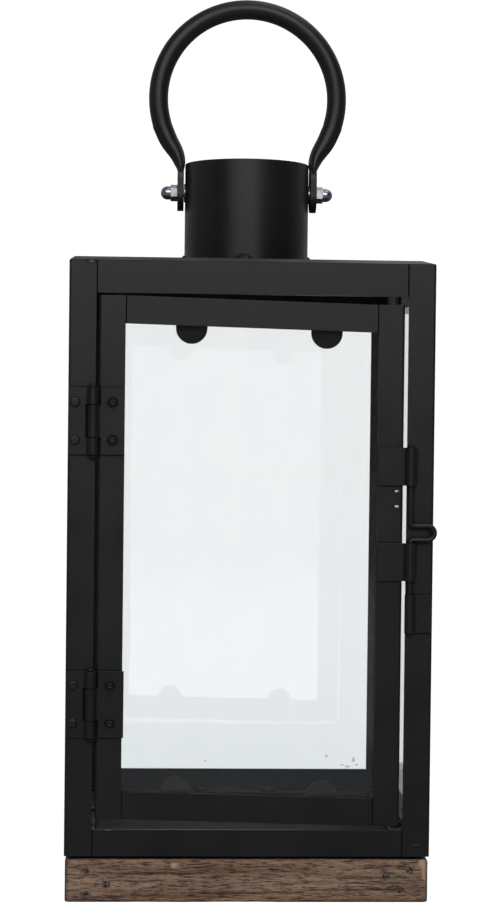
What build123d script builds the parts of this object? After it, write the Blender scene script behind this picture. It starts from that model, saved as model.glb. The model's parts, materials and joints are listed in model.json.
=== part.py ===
from build123d import *

import math
import os

# A square candle lantern: a nailed wooden base, an angle-iron body glazed on four sides, a hinged front
# door with a wire slide bolt, and a flat roof with a short open chimney and a swinging bail handle.
# Sizes are in millimetres. +Z is up, the door faces -Y, and the origin is under the middle of the base.

# Steel body
body_width = 165.0  # across the outer faces of the posts, and the same in depth
frame_height = 267.5  # length of a post
sheet = 1.5  # thickness of all angle iron
bend_round = 1.2  # outer corner of a bent angle
seam = 0.5  # open joint where one bar butts against another
post_flange = 12.3  # width of a post's two faces
bottom_rail_height = 12.0
top_rail_height = 14.5
rail_shelf = 12.0  # how far a rail's flat flange reaches inwards

# Wooden base and floor
board_height = 19.5
board_width = 25.0
base_inset = 0.5  # the boards stand back from the steel faces
board_round = 1.0  # worn outer edges of the boards
floor_sheet = 1.5
floor_inset = 3.0  # leaves the dark shadow line between wood and steel

# Roof and chimney
roof_inset = 0.3  # the roof plate stands back from the steel faces
roof_edge = 0.3  # upright edge of the roof plate
roof_bevel_rise = 1.7
roof_bevel_run = 4.0
roof_shift = 1.9  # the flat top of the roof sits this far off the middle, towards the hinges
vent_diameter = 50.0  # hole in the roof under the chimney
chimney_diameter = 60.0
chimney_wall = 1.5
chimney_height = 50.7
weld_leg = 1.6  # leg of the weld bead around the chimney's foot

# Glazing
glass = 2.0
glass_play = 0.3  # room around the edges of a pane
glass_headroom = 0.5  # room above a fixed pane
clip_sheet = 1.0
clip_width = 14.2
clip_gap = 0.1  # between a pane and the clip behind it
clip_spacing = 62.0  # between a fixed pane's two clips on one rail
clip_hidden = 2.0  # a fixed pane's clip ends this far short of its rail's edge
top_clip_spacing = 61.0  # between the two clips on the door's top rail
top_clip_shift = 3.5  # the two sit this far off the door's middle, towards the latch
top_clip_reach = 8.0  # and show this far past their rail
bottom_clip_spacing = 66.2
bottom_clip_shift = 0.5
bottom_clip_reach = 6.9

# Door
door_gap_hinge = 1.3
door_gap_latch = 1.7
door_gap_top = 1.1  # over the hinge stile
door_gap_bottom = 4.7  # under the hinge stile
door_drop = 2.7  # the latch stile hangs this much lower than the hinge stile
stile_width = 11.8
door_rail_height = 12.5
door_return = 8.0  # depth of the door's edge flanges

# Butt hinges
hinge_height = 30.0
hinge_end_knuckle = 7.5
hinge_knuckle_gap = 0.4
hinge_offset = 1.0  # axis to the post's inner edge
upper_hinge_inset = 56.4  # hinge middle below the top of the hinge stile
lower_hinge_inset = 51.8  # hinge middle above the foot of the hinge stile
knuckle_radius = 2.3
roll_clearance = 0.1  # between a rolled loop and the face behind it
roll_step = 0.05  # a strap's back lies this far inside its rolled loop
strap_sheet = 1.0  # thickness of the hinge leaves and latch straps
leaf_margin = 0.4  # a post leaf or strap ends this far inside the bar it lies on
upper_leaf_overhang = 0.0  # a door leaf reaches this far past the stile's inner edge
lower_leaf_overhang = 0.7
leaf_notch = 1.1  # room between a leaf and the other leaf's knuckles
pin_radius = 1.0
running_fit = 0.06  # radial clearance of a turning or sliding fit
pin_head_radius = 1.7
pin_head_height = 0.9
pin_head_round = 0.6

# Rivets
rivet_head_radius = 2.3
rivet_head_height = 1.0
rivet_head_round = 0.85
rivet_shank_radius = 1.2
rivet_spread = 17.0  # between the two rivets of a leaf
door_rivet_inset = 6.4  # from the door's hinge edge
post_rivet_inset = 3.2  # from the post's outer face
fixed_fit = 0.05  # radial clearance around rivets, nails, bolts and screws

# Slide bolt
latch_offset = 1.6  # bolt axis to the post's inner edge
loop_radius = 2.3  # outside of the rolled guides
bolt_radius = 1.1
strap_height = 17.1
lower_guide_top = 142.0  # above the foot of the posts
guide_room = 26.0  # between the two guides on the door
keeper_gap = 6.2  # between the lower guide and the keeper on the post
bolt_rest_gap = 0.15  # between the bent wire and the lower guide
bolt_bend = 1.5  # centreline radius where the wire turns sideways
finger_rise = 6.3  # between the two legs of the finger loop
finger_reach = 12.0  # from the bolt axis to the tip of the finger loop
bolt_top_stub = 1.2  # shows above the upper guide
bolt_release = 0.6  # the lifted bolt clears the keeper by this much

# Bail handle
handle_radius = 43.35  # centreline of the round arch
handle_rise = 46.1  # arch centre above the pivot
handle_tube_radius = 4.65
handle_neck_radius = 20.0  # centreline of the reverse bend above each flat end
handle_neck_length = 26.0  # along the tube, from the flat end to the full round
handle_neck_swell = 2.7  # the higher, the shorter the flattened stretch of a neck
handle_stations = 8  # sections through each flattening neck
lug_thickness = 3.0
lug_width = 14.5
lug_below_pivot = 8.7
lug_overlap = 4.2  # rounded top of a lug above the end of its neck
pivot_height = 36.9  # above the roof plate

# Handle bolts with acorn nuts
pivot_bolt_radius = 2.0
bolt_head_radius = 3.8
bolt_head_height = 2.4
bolt_head_round = 1.0
washer_radius = 4.5
washer_thickness = 0.5
washer_play = 0.2  # between washer and lug
nut_play = 0.1  # between lug and nut
nut_flats = 7.0
nut_hex_height = 3.2
nut_height = 8.0
nut_dome_radius = 3.25
nut_bore_depth = 6.0
bolt_end_gap = 0.4  # between the bolt's end and the bottom of the nut

# Nails and screws
nail_radius = 0.9
nail_length = 40.0
nail_head_radius = 1.25
nail_head_height = 0.6
nail_proud = 0.2
nail_spots_left = [(0.38, 0.74), (0.38, 0.18), (0.74, 0.42)]  # shares of a side board's width and height
nail_spots_right = [(0.33, 0.75), (0.51, 0.30), (0.77, 0.62)]
screw_radius = 1.6
screw_length = 14.0
screw_head_radius = 3.0
screw_head_height = 1.8
screw_head_round = 0.8
screw_spacing = 36.0  # between the two screws of one bottom rail
screw_setback = 8.2  # from the steel face to a screw

# Places that follow from the sizes above
half = body_width / 2
base_half = half - base_inset
floor_bottom = board_height
frame_bottom = floor_bottom + floor_sheet
frame_top = frame_bottom + frame_height
roof_top = frame_top + roof_edge + roof_bevel_rise
chimney_top = roof_top + chimney_height
chimney_radius = chimney_diameter / 2
chimney_bore = chimney_radius - chimney_wall
opening_half = half - post_flange
rail_half = opening_half - seam
shelf_top = frame_bottom + sheet
bottom_rail_top = frame_bottom + bottom_rail_height
top_rail_bottom = frame_top - top_rail_height
pane_front = -half + sheet
pane_back = pane_front + glass

door_left = -opening_half + door_gap_hinge
door_right = opening_half - door_gap_latch
door_top = top_rail_bottom - door_gap_top
door_bottom = bottom_rail_top + door_gap_bottom
door_rail_left = door_left + stile_width + seam
door_rail_right = door_right - stile_width - seam
door_rail_length = door_rail_right - door_rail_left
door_slope = math.degrees(math.atan2(door_drop, door_rail_length))

hinge_x = -opening_half - hinge_offset
hinge_y = -half - roll_clearance - knuckle_radius
hinge_middles = {
    "upper": door_top - upper_hinge_inset,
    "lower": door_bottom + lower_hinge_inset,
}

latch_x = opening_half + latch_offset
latch_y = -half - roll_clearance - loop_radius
lower_guide = (frame_bottom + lower_guide_top - strap_height, frame_bottom + lower_guide_top)
upper_guide = (lower_guide[1] + guide_room, lower_guide[1] + guide_room + strap_height)
keeper_top = lower_guide[0] - keeper_gap
keeper = (keeper_top - strap_height, keeper_top)
finger_low = lower_guide[1] + bolt_rest_gap + bolt_bend
finger_high = finger_low + finger_rise
bolt_travel = upper_guide[0] - (finger_high + bolt_bend) - bolt_rest_gap
bolt_bottom = keeper_top - bolt_travel + bolt_release
bolt_top = upper_guide[1] + bolt_top_stub

pivot_z = roof_top + pivot_height
arch_z = pivot_z + handle_rise
lug_inner = chimney_radius + washer_thickness + washer_play
lug_middle = lug_inner + lug_thickness / 2
neck_x = lug_middle + handle_neck_radius
neck_fall = math.sqrt((handle_radius + handle_neck_radius) ** 2 - neck_x**2)
neck_z = arch_z - neck_fall
neck_sweep = math.atan2(neck_fall, neck_x)
bend_length = handle_neck_radius * neck_sweep
round_angle = (handle_neck_length - bend_length) / handle_radius - neck_sweep
nut_seat = lug_inner + lug_thickness + nut_play

side_turns = {"front": 0, "right": 90, "back": 180, "left": 270}
foot_up = (Align.CENTER, Align.CENTER, Align.MIN)
nodes = {}


def bar(x, y, z):
    """A box between its limits along each axis."""
    middle = [(low + high) / 2 for low, high in (x, y, z)]
    return Pos(*middle) * Box(x[1] - x[0], y[1] - y[0], z[1] - z[0])


def sloped_bar(x, y, z, drop):
    """A bar whose right end lies lower than its left end, with upright ends."""
    outline = Polyline((x[0], z[0]), (x[1], z[0] - drop), (x[1], z[1] - drop), (x[0], z[1]), close=True)
    return extrude(Plane.XZ.offset(-y[1]) * make_face(outline), amount=y[1] - y[0])


def rod(radius, length):
    """A round bar standing on the XY plane."""
    return Cylinder(radius, length, align=foot_up)


def headed(head_radius, head_height, head_round, shank_radius, shank_length, room=0.0):
    """A fastener along +Z: a rounded head below the XY plane and a shank above it."""
    head = Pos(0, 0, -head_height) * rod(head_radius + room, head_height)
    if head_round:
        head = fillet(head.edges().group_by(Axis.Z)[0], head_round)
    return head + rod(shank_radius + room, shank_length)


def on_side(part, side):
    """A piece modelled on the front, turned to one of the four sides."""
    return Rot(0, 0, side_turns[side]) * part


# Wooden base


def nail(room=0.0):
    return headed(nail_head_radius, nail_head_height, 0, nail_radius, nail_length - nail_head_height, room)


def board_nails(room=0.0):
    """The nails of the front board, three into the end of each side board."""
    made = []
    for sign, spots in ((-1, nail_spots_left), (1, nail_spots_right)):
        for across, up in spots:
            x = sign * (base_half - across * board_width)
            y = -base_half - nail_proud + nail_head_height
            made.append(Pos(x, y, up * board_height) * Rot(-90, 0, 0) * nail(room))
    return made


def base_screws(room=0.0):
    """Round-head screws through each bottom rail and the floor into the board below."""
    screw = headed(screw_head_radius, screw_head_height, screw_head_round, screw_radius, screw_length, room)
    made = []
    for side in side_turns:
        for sign in (-1, 1):
            spot = Pos(sign * screw_spacing / 2, -half + screw_setback, shelf_top)
            made.append(on_side(spot * Rot(180, 0, 0) * screw, side))
    return made


nail_room = board_nails(fixed_fit)
nail_room += [on_side(hole, "back") for hole in nail_room]
screw_room = base_screws(fixed_fit)

long_board = bar((-base_half, base_half), (-base_half, -base_half + board_width), (0, board_height))
worn = long_board.edges().group_by(Axis.Y)[0]
long_board = fillet(worn - worn.group_by(Axis.Z)[-1], board_round)
short_half = base_half - board_width
short_board = bar((-short_half, short_half), (-base_half, -base_half + board_width), (0, board_height))
short_board = fillet(short_board.edges().group_by(Axis.Y)[0].group_by(Axis.Z)[0], board_round)

boards = {"front": long_board, "right": short_board, "back": long_board, "left": short_board}
for side, board in boards.items():
    nodes[f"base_{side}_board"] = on_side(board, side) - nail_room - screw_room

nodes["base_nails"] = Compound(board_nails() + [on_side(each, "back") for each in board_nails()])
nodes["base_screws"] = Compound(base_screws())

# Floor, posts and rails

floor_half = half - floor_inset
floor_span = (-floor_half, floor_half)
nodes["floor_plate"] = bar(floor_span, floor_span, (floor_bottom, frame_bottom)) - screw_room

leaf_back = hinge_y + knuckle_radius - roll_step
leaf_front = leaf_back - strap_sheet
rivet_grip = -half + sheet - leaf_front
post_rivet_x = -half + post_rivet_inset
door_rivet_x = door_left + door_rivet_inset


def leaf_rivets(x, room=0.0):
    """The rivets through one side's leaves of both hinges, flush behind the bar that they hold."""
    head = (rivet_head_radius, rivet_head_height, rivet_head_round)
    rivet = headed(*head, rivet_shank_radius, rivet_grip, room)
    made = []
    for middle in hinge_middles.values():
        for sign in (-1, 1):
            made.append(Pos(x, leaf_front, middle + sign * rivet_spread / 2) * Rot(-90, 0, 0) * rivet)
    return made


def corner_post():
    """The front left angle-iron post, with its bend at the outer corner."""
    z = (frame_bottom, frame_top)
    face = bar((-half, -half + post_flange), (-half, -half + sheet), z)
    flank = bar((-half, -half + sheet), (-half, -half + post_flange), z)
    post = face + flank
    bend = post.edges().filter_by(Axis.Z).sort_by(lambda edge: edge.center().X + edge.center().Y)[0]
    return fillet(bend, bend_round)


def frame_rail(z, shelf_z):
    """The front rail between two posts: an upright face and a flat shelf inside."""
    face = bar((-rail_half, rail_half), (-half, -half + sheet), z)
    return face + bar((-rail_half, rail_half), (-half, -half + rail_shelf), shelf_z)


post_names = {"front": "front_left", "right": "front_right", "back": "back_right", "left": "back_left"}
for side, corner in post_names.items():
    nodes[f"corner_post_{corner}"] = on_side(corner_post(), side)
nodes["corner_post_front_left"] -= leaf_rivets(post_rivet_x, fixed_fit)

for side in side_turns:
    bottom_rail = frame_rail((frame_bottom, bottom_rail_top), (frame_bottom, shelf_top))
    top_rail = frame_rail((top_rail_bottom, frame_top), (frame_top - sheet, frame_top))
    nodes[f"bottom_rail_{side}"] = on_side(bottom_rail, side) - screw_room
    nodes[f"top_rail_{side}"] = on_side(top_rail, side)

# Fixed panes and their clips


def fixed_pane(pane_half):
    """A pane behind the front faces, standing on the bottom rail's shelf."""
    z = (shelf_top, frame_top - sheet - glass_headroom)
    return bar((-pane_half, pane_half), (pane_front, pane_back), z)


def fixed_clips():
    """Four tabs that hold a fixed pane from inside, hidden behind the rails."""
    y = (pane_back + clip_gap, pane_back + clip_gap + clip_sheet)
    spans = [(shelf_top, bottom_rail_top - clip_hidden), (top_rail_bottom + clip_hidden, frame_top - sheet)]
    made = []
    for z in spans:
        for sign in (-1, 1):
            x = sign * clip_spacing / 2
            made.append(bar((x - clip_width / 2, x + clip_width / 2), y, z))
    return made


side_pane_half = half - sheet - glass_play
back_pane_half = side_pane_half - glass - glass_play
for side, pane_half in (("left", side_pane_half), ("right", side_pane_half), ("back", back_pane_half)):
    nodes[f"{side}_pane"] = on_side(fixed_pane(pane_half), side)
    nodes[f"{side}_pane_clips"] = Compound([on_side(clip, side) for clip in fixed_clips()])

# Roof, chimney and weld

roof_half = half - roof_inset
roof_plate = bar((-roof_half, roof_half), (-roof_half, roof_half), (frame_top, frame_top + roof_edge))
roof_flat = 2 * (roof_half - roof_bevel_run)
bevel_foot = Pos(0, 0, frame_top + roof_edge) * Rectangle(2 * roof_half, 2 * roof_half)
bevel_head = Pos(-roof_shift, 0, roof_top) * Rectangle(roof_flat, roof_flat)
roof_plate += loft([bevel_foot, bevel_head])
nodes["roof_plate"] = roof_plate - Pos(0, 0, frame_top) * rod(vent_diameter / 2, roof_top - frame_top)

pivot_hole = Pos(-chimney_diameter, 0, pivot_z) * Rot(0, 90, 0)
chimney = Pos(0, 0, roof_top) * (rod(chimney_radius, chimney_height) - rod(chimney_bore, chimney_height))
chimney -= pivot_hole * rod(pivot_bolt_radius + fixed_fit, 2 * chimney_diameter)
nodes["chimney"] = chimney

weld_foot = chimney_radius + fixed_fit
bead_outline = Polyline(
    (weld_foot, roof_top),
    (weld_foot + weld_leg, roof_top),
    (weld_foot, roof_top + weld_leg),
    close=True,
)
nodes["chimney_weld"] = revolve(Plane.XZ * make_face(bead_outline), Axis.Z)

# Door


def door_stile(x, outer_x, drop):
    """An upright door angle: the face and the flange along its outer edge, with its bend between them."""
    z = (door_bottom - drop, door_top - drop)
    stile = bar(x, (-half, -half + sheet), z) + bar(outer_x, (-half, -half + door_return), z)
    front_edges = stile.edges().filter_by(Axis.Z).group_by(Axis.Y)[0]
    bend = front_edges.sort_by(lambda edge: abs(edge.center().X))[-1]
    return fillet(bend, bend_round)


def door_rail(low, flange_low):
    """A cross bar of the door, falling towards the latch, with a flange along its outer edge."""
    x = (door_rail_left, door_rail_right)
    face = sloped_bar(x, (-half, -half + sheet), (low, low + door_rail_height), door_drop)
    return face + sloped_bar(x, (-half, -half + door_return), (flange_low, flange_low + sheet), door_drop)


def door_clip(x, rail_root, reach, up):
    """A round-ended tongue behind the door's glass, hanging from or standing on a rail's flange."""
    length = door_rail_height - sheet + reach
    straight = length - clip_width / 2
    tongue = Pos(0, -straight / 2) * Rectangle(clip_width, straight)
    tongue += Pos(0, -straight) * Circle(clip_width / 2)
    solid = extrude(Plane.XZ * tongue, amount=clip_sheet)
    z = rail_root - (x - door_rail_left) * door_drop / door_rail_length
    return Pos(x, pane_back + clip_gap + clip_sheet, z) * Rot(0, door_slope + (180 if up else 0), 0) * solid


hinge_stile = door_stile((door_left, door_left + stile_width), (door_left, door_left + sheet), 0)
nodes["door_hinge_stile"] = hinge_stile - leaf_rivets(door_rivet_x, fixed_fit)
latch_edge = (door_right - sheet, door_right)
nodes["door_latch_stile"] = door_stile((door_right - stile_width, door_right), latch_edge, door_drop)
nodes["door_top_rail"] = door_rail(door_top - door_rail_height, door_top - sheet)
nodes["door_bottom_rail"] = door_rail(door_bottom, door_bottom)

door_pane_x = (door_left + sheet + glass_play, door_right - sheet - glass_play)
door_pane_z = (door_bottom + sheet + glass_play, door_top - door_drop - sheet - glass_play)
nodes["door_pane"] = bar(door_pane_x, (pane_front, pane_back), door_pane_z)

door_middle = (door_rail_left + door_rail_right) / 2
clips = []
for sign in (-1, 1):
    top_x = door_middle + top_clip_shift + sign * top_clip_spacing / 2
    bottom_x = door_middle + bottom_clip_shift + sign * bottom_clip_spacing / 2
    clips.append(door_clip(top_x, door_top - sheet, top_clip_reach, False))
    clips.append(door_clip(bottom_x, door_bottom + sheet, bottom_clip_reach, True))
nodes["door_pane_clips"] = Compound(clips)

# Hinges and rivets


def rolled_strap(axis, radius, bore, end_x, spans, z):
    """A flat strap from its far end to rolled loops around an upright axis, in front of the steel face."""
    axis_x, axis_y = axis
    side = math.copysign(1, end_x - axis_x)
    back = axis_y + radius - roll_step
    y = (back - strap_sheet, back)
    clear_x = axis_x + side * (radius + leaf_notch)
    strap = bar(sorted((clear_x, end_x)), y, z)
    for low, high in spans:
        strap += bar(sorted((axis_x, clear_x)), y, (low, high))
        strap += Pos(axis_x, axis_y, low) * rod(radius, high - low)
        strap -= Pos(axis_x, axis_y, low) * rod(bore, high - low)
    return strap


def hinge_pin(low, high):
    """A plain pin with a rounded head at each end, clear of the end knuckles."""
    head = Pos(0, 0, -pin_head_height) * rod(pin_head_radius, pin_head_height)
    head = fillet(head.edges().group_by(Axis.Z)[0], pin_head_round)
    length = high - low
    pin = rod(pin_radius, length) + head + Pos(0, 0, length) * Rot(180, 0, 0) * head
    return Pos(hinge_x, hinge_y, low) * pin


leaf_overhangs = {"upper": upper_leaf_overhang, "lower": lower_leaf_overhang}
for place, middle in hinge_middles.items():
    low, high = middle - hinge_height / 2, middle + hinge_height / 2
    middle_span = (low + hinge_end_knuckle + hinge_knuckle_gap, high - hinge_end_knuckle - hinge_knuckle_gap)
    end_spans = [(low, low + hinge_end_knuckle), (high - hinge_end_knuckle, high)]
    axis = (hinge_x, hinge_y)
    bore = pin_radius + running_fit
    post_leaf = rolled_strap(axis, knuckle_radius, bore, -half + leaf_margin, end_spans, (low, high))
    door_leaf_end = door_left + stile_width + leaf_overhangs[place]
    door_leaf = rolled_strap(axis, knuckle_radius, bore, door_leaf_end, [middle_span], (low, high))
    nodes[f"{place}_hinge_post_leaf"] = post_leaf - leaf_rivets(post_rivet_x, fixed_fit)
    nodes[f"{place}_hinge_door_leaf"] = door_leaf - leaf_rivets(door_rivet_x, fixed_fit)
    nodes[f"{place}_hinge_pin"] = hinge_pin(low - hinge_knuckle_gap, high + hinge_knuckle_gap)

nodes["post_hinge_rivets"] = Compound(leaf_rivets(post_rivet_x))
nodes["door_hinge_rivets"] = Compound(leaf_rivets(door_rivet_x))

# Slide bolt, guides and keeper

latch_axis = (latch_x, latch_y)
loop_bore = bolt_radius + running_fit
guide_end = door_right - stile_width + leaf_margin
keeper_end = half - leaf_margin
straps = {
    "upper_guide": (guide_end, upper_guide),
    "lower_guide": (guide_end, lower_guide),
    "keeper": (keeper_end, keeper),
}
for name, (end, span) in straps.items():
    nodes[f"latch_{name}"] = rolled_strap(latch_axis, loop_radius, loop_bore, end, [span], span)

turn_x = latch_x + finger_reach - bolt_radius - finger_rise / 2
turn_z = (finger_low + finger_high) / 2
bend_run = bolt_bend * (1 - math.sqrt(0.5))


def bolt_point(x, z):
    return (x, latch_y, z)


bolt_wire = [
    Line(bolt_point(latch_x, bolt_top), bolt_point(latch_x, finger_high + bolt_bend)),
    ThreePointArc(
        bolt_point(latch_x, finger_high + bolt_bend),
        bolt_point(latch_x + bend_run, finger_high + bend_run),
        bolt_point(latch_x + bolt_bend, finger_high),
    ),
    Line(bolt_point(latch_x + bolt_bend, finger_high), bolt_point(turn_x, finger_high)),
    ThreePointArc(
        bolt_point(turn_x, finger_high),
        bolt_point(turn_x + finger_rise / 2, turn_z),
        bolt_point(turn_x, finger_low),
    ),
    Line(bolt_point(turn_x, finger_low), bolt_point(latch_x + bolt_bend, finger_low)),
    ThreePointArc(
        bolt_point(latch_x + bolt_bend, finger_low),
        bolt_point(latch_x + bend_run, finger_low - bend_run),
        bolt_point(latch_x, finger_low - bolt_bend),
    ),
    Line(bolt_point(latch_x, finger_low - bolt_bend), bolt_point(latch_x, bolt_bottom)),
]
bolt_section = Plane(bolt_point(latch_x, bolt_top), z_dir=(0, 0, -1)) * Circle(bolt_radius)
nodes["latch_bolt"] = sweep(bolt_section, path=Wire(bolt_wire))

# Bail handle


def arch_point(angle):
    return (handle_radius * math.cos(angle), 0, arch_z + handle_radius * math.sin(angle))


def neck_plane(run):
    """A plane across the right neck, at a run along its centreline from the flat end."""
    if run < bend_length:
        angle = run / handle_neck_radius
        x = neck_x - handle_neck_radius * math.cos(angle)
        point = (x, 0, neck_z + handle_neck_radius * math.sin(angle))
    else:
        angle = neck_sweep - (run - bend_length) / handle_radius
        point = arch_point(-angle)
    return Plane(point, x_dir=(0, 1, 0), z_dir=(math.sin(angle), 0, math.cos(angle)))


def neck_section(share):
    """A section of the right neck: flat at share 0, the full round tube at share 1."""
    plane = neck_plane(share * handle_neck_length)
    if share == 1:
        return plane * Circle(handle_tube_radius)
    swell = 1 - (1 - share) ** handle_neck_swell
    depth = lug_thickness / 2 + (handle_tube_radius - lug_thickness / 2) * swell
    width = lug_width / 2 + (handle_tube_radius - lug_width / 2) * swell
    return plane * Ellipse(width, depth)


def handle_end():
    """The right neck, the flat lug below it and the hole for its bolt."""
    neck = loft([neck_section(step / (handle_stations - 1)) for step in range(handle_stations)])
    lug_low = pivot_z - lug_below_pivot + lug_width / 2
    lug_high = neck_z + lug_overlap - lug_width / 2
    outline = SlotCenterToCenter(lug_high - lug_low, lug_width, rotation=90)
    lug_place = Plane.YZ.offset(lug_inner) * Pos(0, (lug_low + lug_high) / 2)
    lug = extrude(lug_place * outline, amount=lug_thickness)
    hole = Pos(lug_inner - lug_thickness, 0, pivot_z) * Rot(0, 90, 0)
    return neck + lug - hole * rod(pivot_bolt_radius + running_fit, 3 * lug_thickness)


arch_path = ThreePointArc(arch_point(round_angle), arch_point(math.pi / 2), arch_point(math.pi - round_angle))
arch = sweep(neck_section(1), path=arch_path)
right_end = handle_end()
nodes["handle"] = arch + right_end + mirror(right_end, Plane.YZ)

# Handle bolts, washers and acorn nuts, along +X before they are turned to their side


def acorn_nut():
    hexagon = RegularPolygon(nut_flats / 2, 6, major_radius=False)
    dome_base = nut_height - nut_dome_radius
    dome = rod(nut_dome_radius, dome_base) + Pos(0, 0, dome_base) * Sphere(nut_dome_radius)
    dome &= rod(2 * nut_flats, nut_height)
    return extrude(hexagon, amount=nut_hex_height) + dome - rod(pivot_bolt_radius + fixed_fit, nut_bore_depth)


head_seat = math.sqrt(chimney_bore**2 - bolt_head_radius**2) - fixed_fit
shank_length = nut_seat + nut_bore_depth - bolt_end_gap - head_seat
pivot_bolt = headed(bolt_head_radius, bolt_head_height, bolt_head_round, pivot_bolt_radius, shank_length)
washer = rod(washer_radius, washer_thickness) - rod(pivot_bolt_radius + fixed_fit, washer_thickness)

for side, turn in (("left", -90), ("right", 90)):
    place = Pos(0, 0, pivot_z) * Rot(0, turn, 0)
    nodes[f"{side}_handle_bolt"] = place * Pos(0, 0, head_seat) * pivot_bolt
    nodes[f"{side}_handle_washer"] = place * Pos(0, 0, chimney_radius) * washer
    nodes[f"{side}_acorn_nut"] = place * Pos(0, 0, nut_seat) * acorn_nut()

os.makedirs("parts", exist_ok=True)
for name, piece in nodes.items():
    export_step(piece, f"parts/{name}.step")

print(len(nodes), "nodes")
print("hinge axis", round(hinge_x, 3), round(hinge_y, 3))
print("latch axis", round(latch_x, 3), round(latch_y, 3), "travel", round(bolt_travel, 3))
print("handle pivot height", round(pivot_z, 3), "arch centre", round(arch_z, 3))
print("chimney top", round(chimney_top, 3), "roof top", round(roof_top, 3))
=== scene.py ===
import json
import math

import bmesh
import bpy
from mathutils import Euler, Matrix, Vector, noise

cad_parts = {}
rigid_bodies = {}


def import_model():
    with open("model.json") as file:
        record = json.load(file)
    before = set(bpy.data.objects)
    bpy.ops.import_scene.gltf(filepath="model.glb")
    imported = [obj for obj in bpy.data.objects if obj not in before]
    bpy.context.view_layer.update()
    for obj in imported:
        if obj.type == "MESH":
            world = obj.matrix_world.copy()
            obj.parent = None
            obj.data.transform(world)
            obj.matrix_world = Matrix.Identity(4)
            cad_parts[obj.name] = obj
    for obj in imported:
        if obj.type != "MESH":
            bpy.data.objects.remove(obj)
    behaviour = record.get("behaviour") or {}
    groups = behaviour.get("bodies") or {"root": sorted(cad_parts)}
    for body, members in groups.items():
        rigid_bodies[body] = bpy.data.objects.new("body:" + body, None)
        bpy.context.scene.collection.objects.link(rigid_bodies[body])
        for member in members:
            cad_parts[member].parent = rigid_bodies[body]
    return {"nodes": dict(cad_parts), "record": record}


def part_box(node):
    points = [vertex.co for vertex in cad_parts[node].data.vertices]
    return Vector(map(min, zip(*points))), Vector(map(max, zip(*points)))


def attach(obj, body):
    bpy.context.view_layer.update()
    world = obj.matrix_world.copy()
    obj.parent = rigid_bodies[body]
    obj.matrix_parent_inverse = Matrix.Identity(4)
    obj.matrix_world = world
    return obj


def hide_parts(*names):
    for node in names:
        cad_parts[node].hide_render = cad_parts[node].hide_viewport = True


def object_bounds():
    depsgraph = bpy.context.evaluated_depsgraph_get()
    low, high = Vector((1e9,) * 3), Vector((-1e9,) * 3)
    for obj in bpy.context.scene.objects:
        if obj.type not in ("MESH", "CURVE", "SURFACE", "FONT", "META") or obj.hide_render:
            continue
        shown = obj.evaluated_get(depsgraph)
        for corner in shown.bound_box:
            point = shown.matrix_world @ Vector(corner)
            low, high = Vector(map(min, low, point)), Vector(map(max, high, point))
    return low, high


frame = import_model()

mm = 0.001

# A fresh Blender file holds a cube, a lamp and a camera that aren't wanted here
for spare in [item for item in bpy.data.objects if item.name in ("Cube", "Light", "Camera")]:
    bpy.data.objects.remove(spare)
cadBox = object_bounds()
nodes = frame["nodes"]
print("frame loaded,", len(nodes), "nodes")


# Small helpers for node trees

def fill(tree, made, values):
    for socket, value in values.items():
        if isinstance(value, bpy.types.NodeSocket):
            tree.links.new(value, made.inputs[socket])
        else:
            made.inputs[socket].default_value = value


def put(tree, kind, values=None, **props):
    made = tree.nodes.new("ShaderNode" + kind)
    for name, value in props.items():
        setattr(made, name, value)
    fill(tree, made, values or {})
    return made


def blendColour(tree, share, first, second):
    return put(tree, "Mix", {0: share, 6: first, 7: second}, data_type="RGBA").outputs[2]


def blendValue(tree, share, first, second):
    return put(tree, "Mix", {0: share, 2: first, 3: second}).outputs[0]


def sums(tree, how, first, second=0.5):
    return put(tree, "Math", {0: first, 1: second}, operation=how).outputs[0]


def spread(tree, value, low, high, toLow=0.0, toHigh=1.0):
    settings = {"Value": value, "From Min": low, "From Max": high, "To Min": toLow, "To Max": toHigh}
    return put(tree, "MapRange", settings).outputs[0]


def grit(tree, place, scale, detail=2.0, rough=0.5):
    settings = {"Vector": place, "Scale": scale, "Detail": detail, "Roughness": rough}
    return put(tree, "TexNoise", settings).outputs["Fac"]


def moved(tree, place, scale=(1, 1, 1), turn=(0, 0, 0), shift=(0, 0, 0)):
    settings = {"Vector": place, "Scale": scale, "Rotation": turn, "Location": shift}
    return put(tree, "Mapping", settings).outputs[0]


def softNormal(tree, radius):
    return put(tree, "Bevel", {"Radius": radius}, samples=6).outputs[0]


def heightOf(tree, way):
    return put(tree, "SeparateXYZ", {0: way}).outputs["Z"]


def startGroup(name, inputs, outputs):
    tree = bpy.data.node_groups.new(name, "ShaderNodeTree")
    for label, kind, value in inputs:
        socket = tree.interface.new_socket(label, in_out="INPUT", socket_type="NodeSocket" + kind)
        if value is not None:
            socket.default_value = value
    for label, kind in outputs:
        tree.interface.new_socket(label, in_out="OUTPUT", socket_type="NodeSocket" + kind)
    return tree, tree.nodes.new("NodeGroupInput").outputs, tree.nodes.new("NodeGroupOutput").inputs


def useGroup(tree, group, values):
    made = tree.nodes.new("ShaderNodeGroup")
    made.node_tree = group
    fill(tree, made, values)
    return made.outputs


def startMaterial(name):
    made = bpy.data.materials.new(name)
    made.use_nodes = True
    tree = made.node_tree
    tree.nodes.clear()
    shader = tree.nodes.new("ShaderNodeBsdfPrincipled")
    end = tree.nodes.new("ShaderNodeOutputMaterial")
    tree.links.new(shader.outputs[0], end.inputs["Surface"])
    place = tree.nodes.new("ShaderNodeTexCoord").outputs["Object"]
    return made, tree, shader, place


def feed(tree, value, socket):
    tree.links.new(value, socket)


# Effects that several finishes share

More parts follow.
